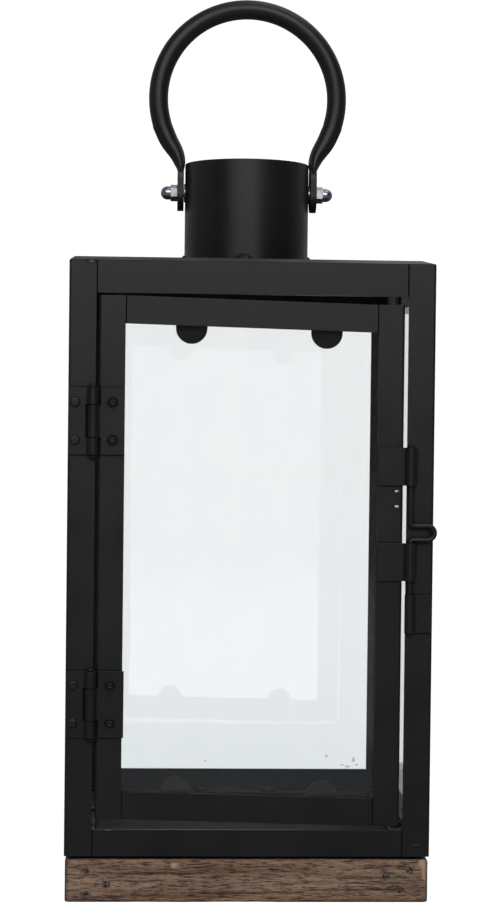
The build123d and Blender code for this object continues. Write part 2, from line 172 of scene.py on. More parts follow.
def makeRubbedEdges():
    inputs = [("Place", "Vector", None), ("Width", "Float", 0.6 * mm), ("Patch", "Float", 60.0)]
    tree, given, out = startGroup("rubbed edges", inputs, [("Mask", "Float")])
    soft = softNormal(tree, given["Width"])
    plain = tree.nodes.new("ShaderNodeNewGeometry").outputs["Normal"]
    facing = put(tree, "VectorMath", {0: soft, 1: plain}, operation="DOT_PRODUCT").outputs["Value"]
    edge = spread(tree, facing, 0.985, 0.8)
    patches = spread(tree, grit(tree, given["Place"], given["Patch"], 5.0, 0.65), 0.47, 0.66)
    feed(tree, sums(tree, "MULTIPLY", edge, patches), out["Mask"])
    return tree


def makeSprinkle():
    inputs = [
        ("Place", "Vector", None), ("Scale", "Float", 700.0),
        ("Size", "Float", 0.16), ("Share", "Float", 0.6),
    ]
    tree, given, out = startGroup("sprinkle", inputs, [("Mask", "Float")])
    cells = put(tree, "TexVoronoi", {"Vector": given["Place"], "Scale": given["Scale"]})
    lots = put(tree, "SeparateColor", {0: cells.outputs["Color"]}).outputs
    picked = sums(tree, "GREATER_THAN", lots[0], given["Share"])
    size = sums(tree, "MULTIPLY", given["Size"], spread(tree, lots[1], 0, 1, 0.25, 1.0))
    rough = grit(tree, given["Place"], sums(tree, "MULTIPLY", given["Scale"], 4.0), 2.0)
    reach = sums(tree, "MULTIPLY", cells.outputs["Distance"], spread(tree, rough, 0.25, 0.75, 0.4, 1.9))
    feed(tree, sums(tree, "MULTIPLY", picked, sums(tree, "LESS_THAN", reach, size)), out["Mask"])
    return tree


def makeSettledDust():
    inputs = [("Place", "Vector", None), ("Patch", "Float", 90.0)]
    tree, given, out = startGroup("settled dust", inputs, [("Mask", "Float")])
    normal = tree.nodes.new("ShaderNodeNewGeometry").outputs["Normal"]
    upward = spread(tree, heightOf(tree, normal), 0.35, 0.95)
    patches = spread(tree, grit(tree, given["Place"], given["Patch"], 6.0, 0.7), 0.35, 0.75)
    feed(tree, sums(tree, "MULTIPLY", upward, patches), out["Mask"])
    return tree


def makePaintChip():
    inputs = [("Place", "Vector", None), ("Spot", "Vector", None), ("Size", "Vector", None)]
    tree, given, out = startGroup("paint chip", inputs, [("Bare", "Float"), ("Hollow", "Float")])
    off = put(tree, "VectorMath", {0: given["Place"], 1: given["Spot"]}, operation="SUBTRACT").outputs[0]
    share = put(tree, "VectorMath", {0: off, 1: given["Size"]}, operation="DIVIDE").outputs[0]
    reach = put(tree, "VectorMath", {0: share}, operation="LENGTH").outputs["Value"]
    fine = grit(tree, given["Place"], 2600.0, 2.0)
    ragged = sums(tree, "ADD", reach, spread(tree, fine, 0.3, 0.7, -0.35, 0.35))
    feed(tree, spread(tree, ragged, 1.05, 0.8), out["Bare"])
    feed(tree, spread(tree, ragged, 1.9, 1.0), out["Hollow"])
    return tree


# painted shade: darkens where ambient occlusion finds corners and crevices
def makeCreviceShade():
    inputs = [("Reach", "Float", 2.0 * mm), ("Open", "Float", 0.7), ("Shut", "Float", 0.3)]
    tree, given, out = startGroup("creviceShade", inputs, [("Mask", "Float")])
    clear = put(tree, "AmbientOcclusion", {"Distance": given["Reach"]}, samples=8).outputs["AO"]
    feed(tree, spread(tree, clear, given["Open"], given["Shut"]), out["Mask"])
    return tree


rubbedEdges = makeRubbedEdges()
sprinkle = makeSprinkle()
settledDust = makeSettledDust()
paintChip = makePaintChip()
creviceShade = makeCreviceShade()
print("shared effects made")


# Finishes

def spotOf(place, spot, size):
    return {"Place": place, "Spot": [part * mm for part in spot], "Size": [part * mm for part in size]}


blackPaint = {
    "deep": (0.0040, 0.0040, 0.0043, 1),
    "faded": (0.0075, 0.0075, 0.0080, 1),
    "rubbed": (0.060, 0.061, 0.064, 1),
    # colour of the painted shade in corners and crevices
    "creviceShade": (0.0006, 0.0006, 0.0007, 1),
    "dust": (0.16, 0.16, 0.16, 1),
    "speck": (0.045, 0.045, 0.047, 1),
    "primer": (0.9, 0.91, 0.93, 1),
    "toneScale": 38.0,
    "specks": {"Scale": 700.0, "Size": 0.16, "Share": 0.8},
    "dustPatch": 110.0,
    "dustShare": 0.09,
    # pale dust lower down, which also stands in as painted light on the lower clips
    "lowDustAndLight": (90 * mm, 45 * mm),  # heights, from clear to dusty
    "rubbedEdge": {"Width": 0.6 * mm, "Patch": 75.0},
    "rubbedShare": 0.4,
    "corner": {"Reach": 3.0 * mm, "Open": 0.9, "Shut": 0.5},
    "cornerRoughness": 0.95,
    "roughness": (0.34, 0.44),
    "specular": 0.5,
    "dulling": 0.25,  # off the gloss and onto the roughness of a fully dull coat
    "edgeRadius": 0.28 * mm,
    "grainScale": 1500.0,
    "grainDepth": 0.05 * mm,
    "chipDepth": 0.5 * mm,
    "chips": [  # place, half sizes, strength
        ((65.5, -82.5, 186.5), (0.95, 0.6, 0.55), 1.0),
        ((65.7, -82.5, 179.6), (1.0, 0.6, 0.6), 1.0),
        ((-62.7, -82.3, 32.9), (2.0, 0.7, 0.25), 0.15),
        ((76.0, -82.5, 26.4), (1.7, 0.6, 0.2), 0.08),
        ((-72.4, -82.5, 288.0), (1.4, 0.7, 0.5), 0.12),
    ],
}


def makeBlackPaint(name, dullness=0.0, lowDustAndLight=0.0):
    made, tree, shader, place = startMaterial(name)
    dulled = blackPaint["dulling"] * dullness
    shader.inputs["Specular IOR Level"].default_value = blackPaint["specular"] - dulled
    tone = grit(tree, place, blackPaint["toneScale"], 6.0, 0.6)
    colour = blendColour(tree, spread(tree, tone, 0.32, 0.68), blackPaint["deep"], blackPaint["faded"])
    specks = useGroup(tree, sprinkle, {"Place": place, **blackPaint["specks"]})["Mask"]
    colour = blendColour(tree, specks, colour, blackPaint["speck"])
    dust = useGroup(tree, settledDust, {"Place": place, "Patch": blackPaint["dustPatch"]})["Mask"]
    dust = sums(tree, "MULTIPLY", dust, blackPaint["dustShare"])
    colour = blendColour(tree, dust, colour, blackPaint["dust"])
    worn = useGroup(tree, rubbedEdges, {"Place": place, **blackPaint["rubbedEdge"]})["Mask"]
    worn = sums(tree, "MULTIPLY", worn, blackPaint["rubbedShare"])
    colour = blendColour(tree, worn, colour, blackPaint["rubbed"])
    depth = 0.0
    for spot, size, strength in blackPaint["chips"]:
        hit = useGroup(tree, paintChip, spotOf(place, spot, size))
        bare = sums(tree, "MULTIPLY", hit["Bare"], strength)
        colour = blendColour(tree, bare, colour, blackPaint["primer"])
        depth = sums(tree, "MAXIMUM", depth, hit["Hollow"])
    # painted shade in corners and crevices, where the coat is also made rougher
    paintedShade = useGroup(tree, creviceShade, blackPaint["corner"])["Mask"]
    colour = blendColour(tree, paintedShade, colour, blackPaint["creviceShade"])
    # pale dust lower down: real settled dust, and painted light that lightens the lower clips
    if lowDustAndLight:
        low = spread(tree, heightOf(tree, place), *blackPaint["lowDustAndLight"])
        settled = sums(tree, "MULTIPLY", low, spread(tree, tone, 0.2, 0.8))
        colour = blendColour(tree, sums(tree, "MULTIPLY", settled, lowDustAndLight), colour, blackPaint["dust"])
    feed(tree, colour, shader.inputs["Base Color"])
    grain = grit(tree, place, blackPaint["grainScale"], 3.0, 0.6)
    smooth, rough = [part + dulled for part in blackPaint["roughness"]]
    ripple = spread(tree, grain, 0.3, 0.7, -0.04, 0.04)
    gloss = sums(tree, "ADD", spread(tree, tone, 0.3, 0.7, smooth, rough), ripple)
    feed(tree, blendValue(tree, paintedShade, gloss, blackPaint["cornerRoughness"]), shader.inputs["Roughness"])
    values = {"Height": grain, "Distance": blackPaint["grainDepth"], "Strength": 0.5}
    bump = put(tree, "Bump", {**values, "Normal": softNormal(tree, blackPaint["edgeRadius"])})
    values = {"Height": depth, "Distance": blackPaint["chipDepth"], "Strength": 0.8}
    pits = put(tree, "Bump", {**values, "Normal": bump.outputs[0]}, invert=True)
    feed(tree, pits.outputs[0], shader.inputs["Normal"])
    return made


brightZinc = {
    "plating": (0.55, 0.58, 0.605, 1),
    "tarnish": (0.30, 0.33, 0.35, 1),
    "cloudScale": 420.0,
    "roughness": (0.14, 0.34),
    "edgeRadius": 0.3 * mm,
    "scratchScale": (400, 2600, 2600),
    "scratchDepth": 0.02 * mm,
}


def makeBrightZinc(name):
    made, tree, shader, place = startMaterial(name)
    cloud = grit(tree, place, brightZinc["cloudScale"], 5.0, 0.6)
    patch = spread(tree, cloud, 0.42, 0.7)
    colour = blendColour(tree, patch, brightZinc["plating"], brightZinc["tarnish"])
    feed(tree, colour, shader.inputs["Base Color"])
    shader.inputs["Metallic"].default_value = 1.0
    feed(tree, spread(tree, cloud, 0.3, 0.75, *brightZinc["roughness"]), shader.inputs["Roughness"])
    scratches = grit(tree, moved(tree, place, brightZinc["scratchScale"]), 1.0, 3.0)
    values = {"Height": scratches, "Distance": brightZinc["scratchDepth"], "Strength": 0.4}
    bump = put(tree, "Bump", {**values, "Normal": softNormal(tree, brightZinc["edgeRadius"])})
    feed(tree, bump.outputs[0], shader.inputs["Normal"])
    return made


dullNail = {
    "iron": (0.36, 0.32, 0.285, 1),
    "rust": (0.032, 0.021, 0.016, 1),
    "cloudScale": 900.0,
    "rustFrom": (0.43, 0.5),
    "metallic": (0.7, 0.1),
    "roughness": (0.3, 0.6),
    "pitDepth": 0.08 * mm,
}


def makeDullNail(name):
    made, tree, shader, place = startMaterial(name)
    cloud = grit(tree, place, dullNail["cloudScale"], 4.0, 0.65)
    rust = spread(tree, cloud, *dullNail["rustFrom"])
    feed(tree, blendColour(tree, rust, dullNail["iron"], dullNail["rust"]), shader.inputs["Base Color"])
    feed(tree, spread(tree, cloud, *dullNail["rustFrom"], *dullNail["metallic"]), shader.inputs["Metallic"])
    feed(tree, spread(tree, cloud, 0.35, 0.7, *dullNail["roughness"]), shader.inputs["Roughness"])
    bump = put(tree, "Bump", {"Height": cloud, "Distance": dullNail["pitDepth"], "Strength": 0.6})
    feed(tree, bump.outputs[0], shader.inputs["Normal"])
    return made


clearPane = {
    "tint": (0.961, 0.969, 0.972, 1),
    "film": (0.944, 0.957, 0.962, 1),
    "low": (0.902, 0.926, 0.933, 1),
    "grime": (0.10, 0.11, 0.11, 1),
    "grimeShare": 0.8,
    "edge": (0.05, 0.10, 0.09, 1),
    "cloudScale": (95, 95, 40),
    "lowHeights": (165 * mm, 40 * mm),  # from clear to dusty
    "grains": {"Scale": 640.0, "Size": 0.2, "Share": 0.72},
    "grainShare": 0.07,
    "roughness": (0.0, 0.03),
    "transmission": 0.998,
    "ior": 1.5,
    "lampLight": (0.95, 0.98, 0.985, 1),  # what a pane lets through
    "haze": 0.5,  # dust that shows along a pane
    "hazeTint": (0.72, 0.9, 1.0, 1),
    "hazeRoughness": 0.3,
    "marks": [  # place and half sizes of dirt on the door's pane
        ((35.4, -81, 66.5), (0.55, 0.8, 0.9)), ((47.7, -81, 64.7), (0.6, 0.8, 1.1)),
        ((45.0, -81, 61.6), (1.2, 0.8, 0.4)), ((42.7, -81, 62.3), (0.8, 0.8, 0.35)),
        ((49.1, -81, 62.4), (0.9, 0.8, 0.45)), ((-19.4, -81, 64.0), (0.4, 0.8, 0.45)),
    ],
}


def makeClearPane(name):
    made, tree, shader, place = startMaterial(name)
    cloud = grit(tree, moved(tree, place, clearPane["cloudScale"]), 1.0, 9.0, 0.75)
    film = spread(tree, cloud, 0.36, 0.7)
    colour = blendColour(tree, film, clearPane["tint"], clearPane["film"])
    # more dust lies on the lower part of a pane
    lower = spread(tree, heightOf(tree, place), *clearPane["lowHeights"])
    lower = sums(tree, "ADD", lower, spread(tree, cloud, 0.3, 0.7, -0.15, 0.15))
    colour = blendColour(tree, lower, colour, clearPane["low"])
    grains = useGroup(tree, sprinkle, {"Place": place, **clearPane["grains"]})["Mask"]
    marks = sums(tree, "MULTIPLY", grains, clearPane["grainShare"])
    for spot, size in clearPane["marks"]:
        hit = useGroup(tree, paintChip, spotOf(place, spot, size))
        marks = sums(tree, "MAXIMUM", marks, hit["Bare"])
    marks = sums(tree, "MULTIPLY", marks, clearPane["grimeShare"])
    colour = blendColour(tree, marks, colour, clearPane["grime"])
    # the cut edges above and below are dark green
    normal = tree.nodes.new("ShaderNodeNewGeometry").outputs["Normal"]
    rise = sums(tree, "ABSOLUTE", heightOf(tree, normal))
    colour = blendColour(tree, sums(tree, "GREATER_THAN", rise, 0.7), colour, clearPane["edge"])
    feed(tree, colour, shader.inputs["Base Color"])
    feed(tree, spread(tree, cloud, 0.4, 0.75, *clearPane["roughness"]), shader.inputs["Roughness"])
    shader.inputs["Transmission Weight"].default_value = clearPane["transmission"]
    shader.inputs["IOR"].default_value = clearPane["ior"]
    shader.inputs["Sheen Weight"].default_value = clearPane["haze"]
    shader.inputs["Sheen Tint"].default_value = clearPane["hazeTint"]
    shader.inputs["Sheen Roughness"].default_value = clearPane["hazeRoughness"]
    # lamps shine through the pane
    clear = put(tree, "BsdfTransparent", {"Color": clearPane["lampLight"]}).outputs[0]
    shadowRay = tree.nodes.new("ShaderNodeLightPath").outputs["Is Shadow Ray"]
    both = put(tree, "MixShader", {0: shadowRay, 1: shader.outputs[0], 2: clear}).outputs[0]
    feed(tree, both, tree.nodes["Material Output"].inputs["Surface"])
    return made


oldWood = {
    "brown": (0.31, 0.188, 0.119, 1),
    "dark": (0.030, 0.019, 0.015, 1),
    "grey": (0.57, 0.382, 0.262, 1),
    "pale": (0.62, 0.43, 0.30, 1),
    "stainAndShade": (0.016, 0.013, 0.012, 1),
    "fresh": (0.80, 0.56, 0.37, 1),
    "warpScale": 22.0,
    "warp": (4 * mm, 3 * mm, 3 * mm),
    "bands": (14, 150, 150),  # scales along and across the grain
    "streaks": (38, 620, 620),
    "pores": (130, 1500, 1500),
    "fibre": (420, 2400, 2400),
    "blotScale": 700.0,
    "rubbedEdge": {"Width": 1.2 * mm, "Patch": 140.0},
    "rubbedShare": 0.25,
    "roughness": (0.62, 0.85),
    "specular": 0.3,
    "relief": 0.45 * mm,
}


def makeOldWood(name, turn):
    made, tree, shader, place = startMaterial(name)
    along = moved(tree, place, turn=(0, 0, turn))
    values = {"Vector": along, "Scale": oldWood["warpScale"], "Detail": 2.0}
    warp = put(tree, "TexNoise", values).outputs["Color"]
    bent = put(tree, "VectorMath", {0: warp, 1: oldWood["warp"]}, operation="MULTIPLY").outputs[0]
    along = put(tree, "VectorMath", {0: along, 1: bent}).outputs[0]
    bands = grit(tree, moved(tree, along, oldWood["bands"]), 1.0, 5.0, 0.62)
    streaks = grit(tree, moved(tree, along, oldWood["streaks"]), 1.0, 8.0, 0.76)
    pores = grit(tree, moved(tree, along, oldWood["pores"], shift=(3, 0, 7)), 1.0, 4.0, 0.7)
    fibre = grit(tree, moved(tree, along, oldWood["fibre"]), 1.0, 3.0, 0.6)
    colour = blendColour(tree, spread(tree, bands, 0.36, 0.62), oldWood["brown"], oldWood["grey"])
    colour = blendColour(tree, spread(tree, streaks, 0.47, 0.30, 0, 0.7), colour, oldWood["pale"])
    colour = blendColour(tree, spread(tree, streaks, 0.54, 0.74, 0, 0.75), colour, oldWood["dark"])
    colour = blendColour(tree, spread(tree, pores, 0.50, 0.60, 0, 0.85), colour, oldWood["dark"])
    colour = blendColour(tree, spread(tree, fibre, 0.52, 0.66, 0, 0.6), colour, oldWood["dark"])
    # "fresh" and the stain mask are painted on the boards where they are modelled; the stain mask holds the
    # nails' stains, darkening along the cracks and painted shade along the ends and foot
    fresh = put(tree, "Attribute", attribute_name="fresh").outputs["Fac"]
    darker = spread(tree, fibre, 0.4, 0.7, 0, 0.25)
    freshTone = blendColour(tree, darker, oldWood["fresh"], oldWood["brown"])
    colour = blendColour(tree, fresh, colour, freshTone)
    stainAndShade = put(tree, "Attribute", attribute_name="stainAndShade").outputs["Fac"]
    blots = spread(tree, grit(tree, along, oldWood["blotScale"], 4.0), 0.3, 0.6, 0.55, 1.0)
    colour = blendColour(tree, sums(tree, "MULTIPLY", stainAndShade, blots), colour, oldWood["stainAndShade"])
    worn = useGroup(tree, rubbedEdges, {"Place": place, **oldWood["rubbedEdge"]})["Mask"]
    worn = sums(tree, "MULTIPLY", worn, oldWood["rubbedShare"])
    colour = blendColour(tree, worn, colour, oldWood["pale"])
    feed(tree, colour, shader.inputs["Base Color"])
    feed(tree, spread(tree, streaks, 0.3, 0.7, *oldWood["roughness"]), shader.inputs["Roughness"])
    shader.inputs["Specular IOR Level"].default_value = oldWood["specular"]
    relief = sums(tree, "ADD", sums(tree, "MULTIPLY", streaks, -0.6), sums(tree, "MULTIPLY", pores, -0.6))
    bump = put(tree, "Bump", {"Height": relief, "Distance": oldWood["relief"], "Strength": 0.7})
    feed(tree, bump.outputs[0], shader.inputs["Normal"])
    return made


finishes = {
    "black_paint": makeBlackPaint("satin black paint"),
    "zinc": makeBrightZinc("bright zinc"),
    "nail_steel": makeDullNail("dull nail steel"),
    "glass": makeClearPane("dusty clear glass"),
}
woodAlongX = makeOldWood("old wood along X", 0.0)
woodAlongY = makeOldWood("old wood along Y", math.pi / 2)
dullPaint = makeBlackPaint("dull black paint", dullness=1.0)
# for the door pane's clips: pale dust lower down, partly painted light
dustyLitPaint = makeBlackPaint("dusty black paint", dullness=1.0, lowDustAndLight=0.3)
slotOf = {entry["node"]: entry["material_slot"] for entry in frame["record"]["subparts"]}
for name, node in nodes.items():
    node.data.materials.clear()
    finish = finishes.get(slotOf[name], woodAlongX)
    if name == "door_pane_clips":
        finish = dustyLitPaint
    elif name == "floor_plate" or name.endswith("_clips"):
        finish = dullPaint
    node.data.materials.append(finish)
print("finishes on the CAD nodes")


# Helpers for modelling

def deselectAll():
    if bpy.context.object and bpy.context.object.mode != "OBJECT":
        bpy.ops.object.mode_set(mode="OBJECT")
    bpy.ops.object.select_all(action="DESELECT")


def settle(piece, name):
    deselectAll()
    piece.select_set(True)
    bpy.context.view_layer.objects.active = piece
    bpy.ops.object.transform_apply(location=True, rotation=True, scale=True)
    piece.name = name
    piece.data.name = name


def addBlock(name, low, high):
    deselectAll()
    bpy.ops.mesh.primitive_cube_add(size=1, location=(low + high) / 2)
    piece = bpy.context.object
    piece.scale = high - low
    settle(piece, name)
    return piece


def pick(piece, kind, wanted):
    bpy.ops.mesh.select_mode(type=kind)
    bpy.ops.mesh.select_all(action="DESELECT")
    shape = bmesh.from_edit_mesh(piece.data)
    for part in shape.faces if kind == "FACE" else shape.edges:
        part.select = wanted(part)
    shape.select_flush_mode()
    bmesh.update_edit_mesh(piece.data)


def cutAlong(piece, axis, length, cuts):
    # cuts the edges that run the whole length along an axis
    def runs(edge):
        return abs((edge.verts[0].co - edge.verts[1].co)[axis]) > 0.9 * length

    pick(piece, "EDGE", runs)
    bpy.ops.mesh.subdivide(number_cuts=cuts)


def hand(piece, body, slot, finish, *stoodFor):
    piece.data.materials.clear()
    piece.data.materials.append(finish)
    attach(piece, body)
    if stoodFor:
        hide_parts(*stoodFor)


def islandsOf(node):
    # the corners of each separate solid in a node
    shape = bmesh.new()
    shape.from_mesh(nodes[node].data)
    bmesh.ops.remove_doubles(shape, verts=shape.verts, dist=1e-6)
    left, found = set(shape.verts), []
    while left:
        island, front = [], [left.pop()]
        while front:
            vert = front.pop()
            island.append(vert.co.copy())
            for edge in vert.link_edges:
                other = edge.other_vert(vert)
                if other in left:
                    left.discard(other)
                    front.append(other)
        found.append(island)
    shape.free()

    def middle(island):
        return tuple(round(part, 5) for part in sum(island, Vector()) / len(island))

    return sorted(found, key=middle)


def joinAll(pieces, name):
    deselectAll()
    for piece in pieces:
        piece.select_set(True)
    bpy.context.view_layer.objects.active = pieces[0]
    bpy.ops.object.join()
    joined = bpy.context.object
    settle(joined, name)
    return joined


# Wooden base boards, worn and nailed

boards = {
    "lengthStep": 1.0 * mm,
    "heightStep": 0.5 * mm,
    "depthStep": 1.25 * mm,
    "edgeRound": (0.5 * mm, 1.5 * mm),
    "edgeWander": (90, 260, 90),  # noise scales along, up and across a board
    "furrow": 0.45 * mm,
    "furrowScale": (28, 620, 620),
    "plainEnd": 0.985,  # share of the length with furrows
    "nailStain": (1.3 * mm, 1.9 * mm),  # full to none, from the nail's middle
    # painted shade along the board ends and foot
    "edgeShade": (1.3 * mm, 0.95),  # reach and strength, along the ends and the foot
    "cracks": [  # on the front board: from x to x, height, depth, in mm
        (30, 72, 5.6, 0.55), (-66, -40, 9.4, 0.4), (38, 64, 11.2, 0.45),
        (-30, 25, 4.2, 0.35), (-60, -20, 13.0, 0.3),
    ],
    "crackHalf": 0.55 * mm,
    "crackEnd": 4 * mm,
    "crackWander": 0.5 * mm,
    "crackDarkening": 0.9,
    # a pale scar and a split sliver, both on the front board
    "scar": {"x": -32.9 * mm, "height": 17.0 * mm, "long": 1.5 * mm, "tall": 1.2 * mm},
    "sliver": {"width": 4.6 * mm, "height": 15 * mm, "depth": 0.9 * mm, "edge": 0.6 * mm},
}


def growBoard(name, low, high, lengthAxis):
    size = high - low
    piece = addBlock(name, low, high)
    bpy.ops.object.mode_set(mode="EDIT")
    for axis, step in ((lengthAxis, "lengthStep"), (2, "heightStep"), (1 - lengthAxis, "depthStep")):
        cutAlong(piece, axis, size[axis], round(size[axis] / boards[step]) - 1)
    bpy.ops.object.mode_set(mode="OBJECT")
    return piece


def nailSpots():
    spots = []
    for island in islandsOf("base_nails"):
        outer = max(island, key=lambda place: abs(place.y)).y
        ring = [place for place in island if abs(place.y - outer) < 1e-5]
        spots.append(sum(ring, Vector()) / len(ring))
    return spots


def wearBoard(piece, low, high, lengthAxis, seed, spots):
    depthAxis = 1 - lengthAxis
    outward = math.copysign(1, (low + high)[depthAxis])
    outerFace = high[depthAxis] if outward > 0 else low[depthAxis]
    stainAndShade = piece.data.attributes.new("stainAndShade", "FLOAT", "POINT")
    fresh = piece.data.attributes.new("fresh", "FLOAT", "POINT")
    shift = Vector((seed * 7.3, seed * 3.1, seed * 5.7))
    middle, half = (low + high) / 2, (high - low) / 2
    least, most = boards["edgeRound"]
    full, none = boards["nailStain"]
    edgeShadeReach, edgeShadeStrength = boards["edgeShade"]
    scar, sliver = boards["scar"], boards["sliver"]
    frontBoard = lengthAxis == 0 and outward < 0
    nails = [spot for spot in spots if abs(spot[depthAxis] - outerFace) < 2 * mm]

    def scaled(scales, place):
        return Vector([scale * part for scale, part in zip(scales, place)]) + shift

    for vert in piece.data.vertices:
        place = vert.co.copy()
        along, up = place[lengthAxis], place.z - low.z
        outside = abs(place[depthAxis] - outerFace) < 1e-6
        # rounded edges that wander, and a little wood lost at the corners
        wander = noise.noise(scaled(boards["edgeWander"], (along, up, place[depthAxis])))
        radius = least + (most - least) * (0.5 + 0.5 * wander)
        inner = Vector([min(max(place[i], low[i] + radius), high[i] - radius) for i in range(3)])
        away = place - inner
        if away.length > radius:
            place = inner + away.normalized() * radius
        # raised grain: long shallow furrows
        grainPlace = scaled(boards["furrowScale"], (along, place.z, place[depthAxis]))
        sink = boards["furrow"] * max(0.0, noise.fractal(grainPlace, 0.9, 2.1, 4))
        reach = Vector([(place[i] - middle[i]) / half[i] for i in range(3)])
        face = max((depthAxis, 2), key=lambda i: abs(reach[i]))
        if abs(reach[lengthAxis]) < boards["plainEnd"] and abs(reach[face]) > 0.9:
            place[face] -= math.copysign(sink, reach[face])
        if outside:
            # painted shade along the ends and the foot of the outer face
            nearest = min(up, along - low[lengthAxis], high[lengthAxis] - along)
            mark = edgeShadeStrength * max(0.0, 1 - nearest / edgeShadeReach)
            for spot in nails:
                across = math.hypot(along - spot[lengthAxis], place.z - spot.z)
                mark = max(mark, min(1.0, max(0.0, (none - across) / (none - full))))
            if frontBoard:
                # darker along each crack
                for start, end, height, depth in boards["cracks"]:
                    crooked = noise.noise(Vector((along * 120, height, seed)))
                    line = height * mm + boards["crackWander"] * crooked
                    if start * mm < along < end * mm:
                        ease = min(along - start * mm, end * mm - along) / boards["crackEnd"]
                        near = max(0.0, 1 - abs(up - line) / boards["crackHalf"]) * min(1.0, ease)
                        place[depthAxis] -= outward * depth * mm * near
                        mark = max(mark, boards["crackDarkening"] * near)
                side = (place.x - scar["x"]) / scar["long"]
                off = math.hypot(side, (place.z - scar["height"]) / scar["tall"])
                fresh.data[vert.index].value = max(0.0, min(1.0, 2.2 - 1.7 * off))
                # the sliver is at the top of the latch-side end
                fall = (high.z - place.z) / sliver["height"]
                edge = high.x - sliver["width"] * max(0.0, 1 - fall)
                if place.x > edge and fall < 1:
                    ease = min(1.0, (place.x - edge) / sliver["edge"])
                    place[depthAxis] -= outward * sliver["depth"] * ease
                    fresh.data[vert.index].value = ease
            stainAndShade.data[vert.index].value = mark
        vert.co = place


def makeBoards():
    spots = nailSpots()
    for seed, side in enumerate(("front", "back", "left", "right")):
        node = f"base_{side}_board"
        low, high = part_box(node)
        lengthAxis = 0 if side in ("front", "back") else 1
        piece = growBoard(f"worn_{side}_board", low, high, lengthAxis)
        wearBoard(piece, low, high, lengthAxis, seed + 1, spots)
        bpy.ops.object.shade_smooth_by_angle(angle=math.radians(50))
        hand(piece, "frame", "old_wood", woodAlongX if lengthAxis == 0 else woodAlongY, node)


makeBoards()
print("base boards worn")


# Weld bead around the chimney's foot

weld = {
    "thickness": 0.95 * mm,
    "rise": 0.45 * mm,
    "outward": 0.3 * mm,
    "rings": 300,
    "sides": 12,
    "ripple": 0.16 * mm,
    "ripples": 62,
    "uneven": 0.35 * mm,
    # angle and half width in degrees, height in mm
    "lumps": [(183, 6, 0.9), (262, 9, 1.0), (269, 4, 0.8), (357, 6, 1.0), (75, 10, 0.8), (140, 6, 0.7)],
    "runs": [(183, 2.0, 4.4), (265, 11.0, 2.8), (264, 2.6, 0.3), (357, 2.0, 4.4)],  # up the chimney's wall
}


def swellAt(angle, spot, width):
    off = min(abs(angle - spot), 360 - abs(angle - spot)) / width
    return math.exp(-off * off)


def makeWeld():
    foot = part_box("chimney_weld")[0].z
    level = foot + weld["rise"]
    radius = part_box("chimney")[1].x + weld["outward"]
    deselectAll()
    bpy.ops.mesh.primitive_torus_add(
        location=(0, 0, level), major_radius=radius, minor_radius=weld["thickness"],
        major_segments=weld["rings"], minor_segments=weld["sides"])
    piece = bpy.context.object
    settle(piece, "weld_bead")
    for vert in piece.data.vertices:
        angle = math.degrees(math.atan2(vert.co.y, vert.co.x)) % 360
        turn = math.radians(angle)
        centre = Vector((radius * math.cos(turn), radius * math.sin(turn), level))
        away = vert.co - centre
        hurry = 2 * noise.noise(Vector((angle * 0.05, 0, 0)))
        swell = weld["ripple"] * math.sin(turn * weld["ripples"] + hurry)
        swell += weld["uneven"] * noise.noise(Vector((angle * 0.12, 3.0, 0)))
        for spot, width, height in weld["lumps"]:
            swell += height * mm * swellAt(angle, spot, width)
        vert.co = centre + away * (1 + swell / weld["thickness"])
        for spot, width, height in weld["runs"]:
            if away.z > 0:
                vert.co.z += height * mm * swellAt(angle, spot, width) * away.z / weld["thickness"]
        vert.co.z = max(vert.co.z, foot)
    bpy.ops.object.shade_smooth()
    hand(piece, "frame", "black_paint", finishes["black_paint"], "chimney_weld")


makeWeld()
print("weld bead laid")


# Rivets of the door leaves, with a pressed dimple

rivets = {
    "headHeight": 1.0 * mm,
    "headRadius": 2.3 * mm,
    "shankRadius": 1.2 * mm,
    "rim": 0.15 * mm,
    "grooveHalf": 0.45 * mm,
    "grooveDepth": 0.75 * mm,
    "pitRim": 0.55 * mm,
    "pitWall": 0.4 * mm,
    "pitDepth": 0.4 * mm,
    "pitShift": 0.1 * mm,
    "softEdge": 0.06 * mm,
    "sides": 40,
}


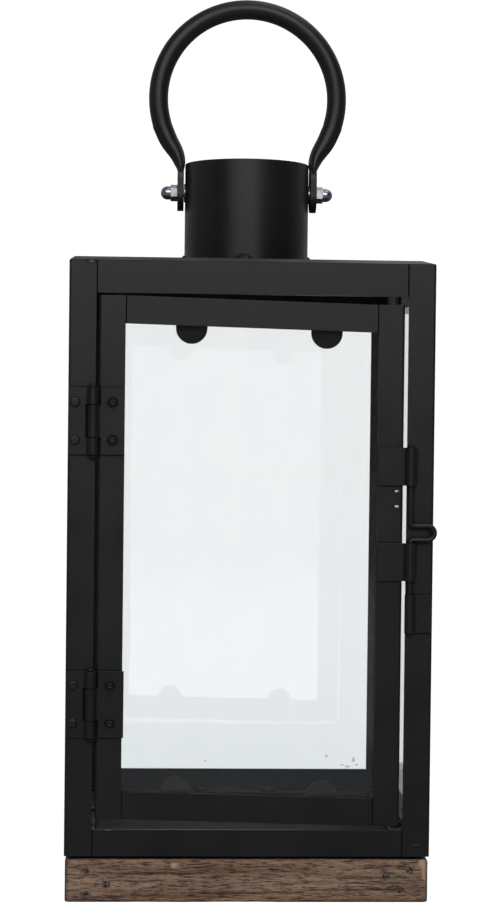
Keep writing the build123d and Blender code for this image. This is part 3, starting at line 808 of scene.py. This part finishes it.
def makeRivets():
    islands = islandsOf("door_hinge_rivets")
    corners = [(Vector(map(min, zip(*island))), Vector(map(max, zip(*island)))) for island in islands]
    spots = [Vector(((low.x + high.x) / 2, low.y, (low.z + high.z) / 2)) for low, high in corners]
    grip = corners[0][1].y - corners[0][0].y - rivets["headHeight"]
    first = spots[0]
    middle = first + Vector((0, rivets["headHeight"] / 2, 0))
    deselectAll()
    bpy.ops.mesh.primitive_cylinder_add(
        vertices=rivets["sides"], radius=rivets["headRadius"], depth=rivets["headHeight"], location=middle,
        rotation=(math.pi / 2, 0, 0))
    piece = bpy.context.object
    settle(piece, "dimpled_rivets")
    bpy.ops.object.mode_set(mode="EDIT")
    pick(piece, "FACE", lambda face: face.normal.y > 0.9)
    bpy.ops.mesh.inset(thickness=rivets["headRadius"] - rivets["shankRadius"])
    bpy.ops.mesh.extrude_region_move(TRANSFORM_OT_translate={"value": (0, grip, 0)})
    pick(piece, "FACE", lambda face: face.normal.y < -0.9)
    bpy.ops.mesh.inset(thickness=rivets["rim"])
    bpy.ops.mesh.inset(thickness=rivets["grooveHalf"])
    bpy.ops.transform.translate(value=(0, rivets["grooveDepth"], 0))
    bpy.ops.mesh.inset(thickness=rivets["grooveHalf"])
    bpy.ops.transform.translate(value=(0, -rivets["grooveDepth"], 0))
    bpy.ops.mesh.inset(thickness=rivets["pitRim"])
    bpy.ops.mesh.inset(thickness=rivets["pitWall"])
    bpy.ops.transform.translate(value=(rivets["pitShift"], rivets["pitDepth"], rivets["pitShift"]))
    bpy.ops.object.mode_set(mode="OBJECT")
    bevel = piece.modifiers.new("soft", "BEVEL")
    bevel.width, bevel.segments, bevel.limit_method = rivets["softEdge"], 2, "ANGLE"
    bpy.ops.object.modifier_apply(modifier="soft")
    bpy.ops.object.shade_smooth_by_angle(angle=math.radians(40))
    copies = [piece]
    for spot in spots[1:]:
        copy = piece.copy()
        copy.data = piece.data.copy()
        copy.data.transform(Matrix.Translation(spot - first))
        bpy.context.scene.collection.objects.link(copy)
        copies.append(copy)
    piece = joinAll(copies, "dimpled_rivets")
    hand(piece, "door", "black_paint", finishes["black_paint"], "door_hinge_rivets")


makeRivets()
print("rivets pressed")


# Weld left in the joints where one bar butts against another

joints = {
    "gap": 0.5 * mm,
    "sunk": 0.8 * mm,
    "sheet": 1.5 * mm,
    "foot": 1.6 * mm,  # of the weld along the inside of a post's foot
    "footRise": 0.9 * mm,
    "railHeight": 12.5 * mm,  # of the door's rails
    "step": 0.6 * mm,
    "uneven": 0.25 * mm,
    "unevenScale": 900,
}


def layWeld(low, high, inward):
    height = (high - low).z
    strip = addBlock("joint_weld", low, high)
    bpy.ops.object.mode_set(mode="EDIT")
    cutAlong(strip, 2, height, round(height / joints["step"]))
    bpy.ops.object.mode_set(mode="OBJECT")
    for vert in strip.data.vertices:
        if (vert.co - (low + high) / 2).dot(inward) < 0:
            vert.co += inward * joints["uneven"] * noise.noise(vert.co * joints["unevenScale"])
    return strip


def weldJoint(ends, depth, heights, runAxis, inward):
    low, high = Vector((0, 0, heights[0])), Vector((0, 0, heights[1]))
    low[runAxis], high[runAxis] = min(ends), max(ends)
    low[1 - runAxis], high[1 - runAxis] = min(depth), max(depth)
    return layWeld(low, high, inward)


def makeJointWelds():
    gap, sunk, sheet = joints["gap"], joints["sunk"], joints["sheet"]
    strips = []
    for side, runAxis, inwardSign in (("front", 0, 1), ("right", 1, -1), ("back", 0, -1), ("left", 1, 1)):
        inward = Vector((0, 0, 0))
        inward[1 - runAxis] = inwardSign
        for level in ("bottom", "top"):
            low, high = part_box(f"{level}_rail_{side}")
            outer = low[1 - runAxis] if inwardSign > 0 else high[1 - runAxis]
            depth = (outer + inwardSign * sunk, outer + inwardSign * sheet)
            for ends in ((low[runAxis] - gap, low[runAxis]), (high[runAxis], high[runAxis] + gap)):
                strips.append(weldJoint(ends, depth, (low.z, high.z), runAxis, inward))
        # along the inside of each post's foot, on the floor plate
        low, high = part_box(f"bottom_rail_{side}")
        outer = low[1 - runAxis] if inwardSign > 0 else high[1 - runAxis]
        depth = (outer + inwardSign * sheet, outer + inwardSign * (sheet + joints["foot"]))
        heights = (low.z, low.z + joints["footRise"])
        reach = cadBox[1][0] - sheet
        for ends in ((-reach, low[runAxis] - gap), (high[runAxis] + gap, reach)):
            strips.append(weldJoint(ends, depth, heights, runAxis, -inward))
    hand(joinAll(strips, "frame_joint_welds"), "frame", "black_paint", finishes["black_paint"])
    strips = []
    for level in ("bottom", "top"):
        low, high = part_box(f"door_{level}_rail")
        depth = (low.y + sunk, low.y + sheet)
        tall = joints["railHeight"]
        strips.append(weldJoint((low.x - gap, low.x), depth, (high.z - tall, high.z), 0, Vector((0, 1, 0))))
        strips.append(weldJoint((high.x, high.x + gap), depth, (low.z, low.z + tall), 0, Vector((0, 1, 0))))
    hand(joinAll(strips, "door_joint_welds"), "door", "black_paint", finishes["black_paint"])


makeJointWelds()
print("joints welded")


# Floor, light and camera

studio = {
    "floorSize": 14.0,
    "floorColour": (0.24, 0.24, 0.24, 1),
    "floorRoughness": 0.9,
    "floorGlow": 1.085,  # as it is seen straight, or through the panes
    "floorGlowShare": 0.96,
    "behindFrom": 0.3,
    "white": (1.0, 1.0, 1.0, 1),
    "cool": (0.90, 0.96, 1.0, 1),
    "wall": 1.05,  # as it is seen straight
    "room": (0.02, 0.33),  # light from the front and from behind
    "roomFrom": (-0.1, 0.75),
    "overhead": (0.0, 0.08),
    "overheadFrom": (0.1, 1.0),
    "patch": 0.9,  # bright, high up behind, on the right
    "patchX": (-0.03, 0.17),
    "patchY": (0.3, 0.6),
    "patchZ": (0.35, 0.6),
    "straightBack": 0.975,
    "lowEnough": 0.12,
    "mirrored": 0.7,  # the front, as a pane mirrors it
    "mirroredAhead": (-0.94, -0.985),
    "mirroredFloor": (0.7, 1.85),  # far and near
    "mirroredReach": (-2.2, -0.45),
    "mirroredStart": (-0.085, -0.13),
    "mirroredHalf": (0.12, 0.32),
    "mirroredSplay": 0.13,
}


def straightLook(tree, path):
    bounces = sums(tree, "ADD", path["Diffuse Depth"], path["Glossy Depth"])
    return sums(tree, "LESS_THAN", bounces, 0.5)


def paneGlance(tree, path):
    # one reflection off a side pane, then out through the back pane
    bounces = sums(tree, "ADD", sums(tree, "MULTIPLY", path["Diffuse Depth"], 2.0), path["Glossy Depth"])
    return sums(tree, "MULTIPLY", sums(tree, "LESS_THAN", bounces, 1.5), path["Is Transmission Ray"])


def backPaneMirror(tree, path):
    # in through the door's pane, off the back pane and out through the door's pane again
    crossings = sums(tree, "GREATER_THAN", path["Transmission Depth"], 3.5)
    bounced = sums(tree, "GREATER_THAN", path["Glossy Depth"], 0.5)
    return sums(tree, "MULTIPLY", sums(tree, "MULTIPLY", crossings, bounced), paneGlance(tree, path))


def makeFloor():
    deselectAll()
    bpy.ops.mesh.primitive_plane_add(size=studio["floorSize"])
    floor = bpy.context.object
    floor.name = "floor"
    made, tree, shader, place = startMaterial("pale floor")
    shader.inputs["Base Color"].default_value = studio["floorColour"]
    shader.inputs["Roughness"].default_value = studio["floorRoughness"]
    glow = put(tree, "Emission", {"Color": studio["white"], "Strength": studio["floorGlow"]}).outputs[0]
    path = tree.nodes.new("ShaderNodeLightPath").outputs
    parts = put(tree, "SeparateXYZ", {0: place}).outputs
    farther = sums(tree, "GREATER_THAN", parts["Y"], studio["behindFrom"])
    glance = sums(tree, "MULTIPLY", farther, paneGlance(tree, path))
    seen = sums(tree, "MAXIMUM", straightLook(tree, path), glance)
    share = sums(tree, "MULTIPLY", seen, studio["floorGlowShare"])
    both = put(tree, "MixShader", {0: share, 1: shader.outputs[0], 2: glow}).outputs[0]
    # painted reflection: the floor in front of the lantern glows, brighter nearer, only where the back pane
    # mirrors it
    ahead = spread(tree, parts["Y"], *studio["mirroredStart"])
    splay = sums(tree, "MULTIPLY", parts["Y"], studio["mirroredSplay"])
    beside = sums(tree, "ADD", sums(tree, "ABSOLUTE", parts["X"]), splay)
    narrow = spread(tree, beside, *studio["mirroredHalf"], 1.0, 0.0)
    mirrored = sums(tree, "MULTIPLY", sums(tree, "MULTIPLY", ahead, narrow), backPaneMirror(tree, path))
    brightness = spread(tree, parts["Y"], *studio["mirroredReach"], *studio["mirroredFloor"])
    shine = put(tree, "Emission", {"Color": studio["white"], "Strength": brightness}).outputs[0]
    both = put(tree, "MixShader", {0: mirrored, 1: both, 2: shine}).outputs[0]
    feed(tree, both, tree.nodes["Material Output"].inputs["Surface"])
    floor.data.materials.append(made)


def makeRoom():
    world = bpy.data.worlds.new("studio")
    bpy.context.scene.world = world
    world.use_nodes = True
    tree = world.node_tree
    tree.nodes.clear()
    way = tree.nodes.new("ShaderNodeTexCoord").outputs["Generated"]
    parts = put(tree, "SeparateXYZ", {0: way}).outputs
    level = spread(tree, parts["Y"], *studio["roomFrom"], *studio["room"])
    above = spread(tree, parts["Z"], *studio["overheadFrom"], *studio["overhead"])
    level = sums(tree, "ADD", level, above)
    patch = spread(tree, parts["Z"], *studio["patchZ"])
    patch = sums(tree, "MULTIPLY", patch, spread(tree, parts["X"], *studio["patchX"]))
    patch = sums(tree, "MULTIPLY", patch, spread(tree, parts["Y"], *studio["patchY"]))
    level = sums(tree, "ADD", level, sums(tree, "MULTIPLY", patch, studio["patch"]))
    path = tree.nodes.new("ShaderNodeLightPath").outputs
    straightBack = sums(tree, "GREATER_THAN", parts["Y"], studio["straightBack"])
    lowEnough = sums(tree, "LESS_THAN", parts["Z"], studio["lowEnough"])
    glance = sums(tree, "MULTIPLY", sums(tree, "MULTIPLY", straightBack, lowEnough), paneGlance(tree, path))
    seen = sums(tree, "MAXIMUM", straightLook(tree, path), glance)
    strength = blendValue(tree, seen, level, studio["wall"])
    ahead = spread(tree, parts["Y"], *studio["mirroredAhead"])
    mirrored = sums(tree, "MULTIPLY", ahead, backPaneMirror(tree, path))
    strength = blendValue(tree, mirrored, strength, studio["mirrored"])
    seen = sums(tree, "MAXIMUM", seen, mirrored)
    colour = blendColour(tree, seen, studio["cool"], studio["white"])
    glow = put(tree, "Background", {"Color": colour, "Strength": strength}).outputs[0]
    feed(tree, glow, put(tree, "OutputWorld").inputs["Surface"])


lamps = {  # place, aim, width, height, watts
    "overCamera": ((-0.24, -1.6, 1.05), (0, 0, 0.27), 1.4, 1.1, 11.0),
    "besideCamera": ((0.42, -1.62, 0.95), (0, 0, 0.27), 0.35, 0.9, 2.0),
    "wideLeft": ((-1.6, -0.3, 0.6), (0, 0, 0.27), 1.0, 1.2, 0.5),
    "overhead": ((0.35, -0.2, 1.5), (0, 0, 0.2), 0.8, 0.8, 2.2),
}
lampTint = (0.968, 0.965, 1.0)


def makeLamps():
    for name, (place, aim, width, height, watts) in lamps.items():
        lamp = bpy.data.lights.new(name, "AREA")
        lamp.shape = "RECTANGLE"
        lamp.size, lamp.size_y, lamp.energy = width, height, watts
        lamp.color = lampTint
        holder = bpy.data.objects.new(name, lamp)
        bpy.context.scene.collection.objects.link(holder)
        holder.location = place
        holder.rotation_euler = (Vector(aim) - Vector(place)).to_track_quat("-Z", "Y").to_euler()


shot = {
    "place": (-45.0 * mm, -1027.0 * mm, 221.4 * mm),
    "yaw": -2.68,
    "pitch": -1.117,
    "roll": 0.652,
    "lens": 83.67,
    "sensor": 36.0,
}


def makeCamera():
    view = bpy.data.cameras.new("camera")
    view.lens = shot["lens"]
    view.sensor_width = shot["sensor"]
    holder = bpy.data.objects.new("camera", view)
    bpy.context.scene.collection.objects.link(holder)
    aim = Euler((math.radians(90 + shot["pitch"]), 0, math.radians(shot["yaw"]))).to_matrix()
    tilt = Matrix.Rotation(math.radians(shot["roll"]), 3, "Z")
    holder.rotation_euler = (aim @ tilt).to_euler()
    holder.location = shot["place"]
    bpy.context.scene.camera = holder


makeFloor()
makeRoom()
makeLamps()
makeCamera()
bpy.context.scene.view_settings.view_transform = "Standard"
print("studio ready")
